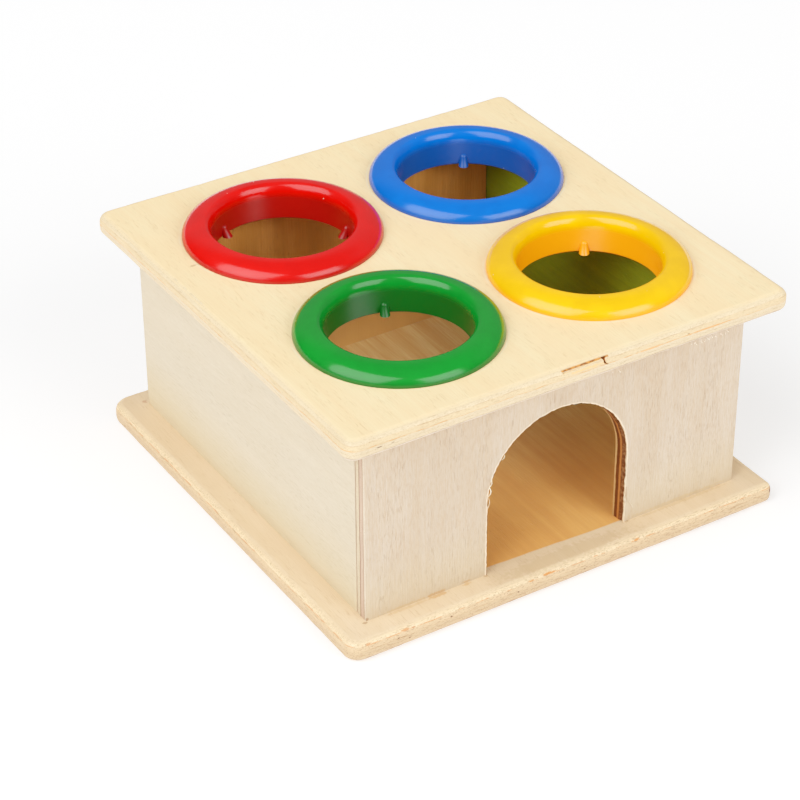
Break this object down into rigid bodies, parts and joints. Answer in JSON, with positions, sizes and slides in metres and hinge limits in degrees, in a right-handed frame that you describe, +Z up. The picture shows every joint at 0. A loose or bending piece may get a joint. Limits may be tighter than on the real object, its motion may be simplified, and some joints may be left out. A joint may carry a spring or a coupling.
{
  "type": "ball pounding bench",
  "caption": "Small plywood box with an arched door and moulded rings set in its top plate, which hold balls to be knocked through.",
  "frame": {"origin": "centre of the base plate's underside, on the surface that the bench stands on", "axes": "+Z up through the ring openings, -Y out of the arched door, +X to the right of someone facing the door"},
  "size_m": [0.11, 0.11, 0.0584],
  "materials": {
    "plate_birch": "thin clear lacquer over sanded birch plywood, with the plies showing at the edges",
    "wall_birch": "bare three-ply birch with upright grain, pale outside",
    "red_plastic": "glossy moulded red",
    "blue_plastic": "glossy moulded blue",
    "yellow_plastic": "glossy moulded yellow",
    "green_plastic": "glossy moulded green"
  },
  "bodies": {
    "root": {"base_plate": "plate_birch", "top_plate": "plate_birch", "front_wall": "wall_birch", "back_wall": "wall_birch", "left_wall": "wall_birch", "right_wall": "wall_birch", "red_ring": "red_plastic", "blue_ring": "blue_plastic", "yellow_ring": "yellow_plastic", "green_ring": "green_plastic"}
  },
  "joints": []
}
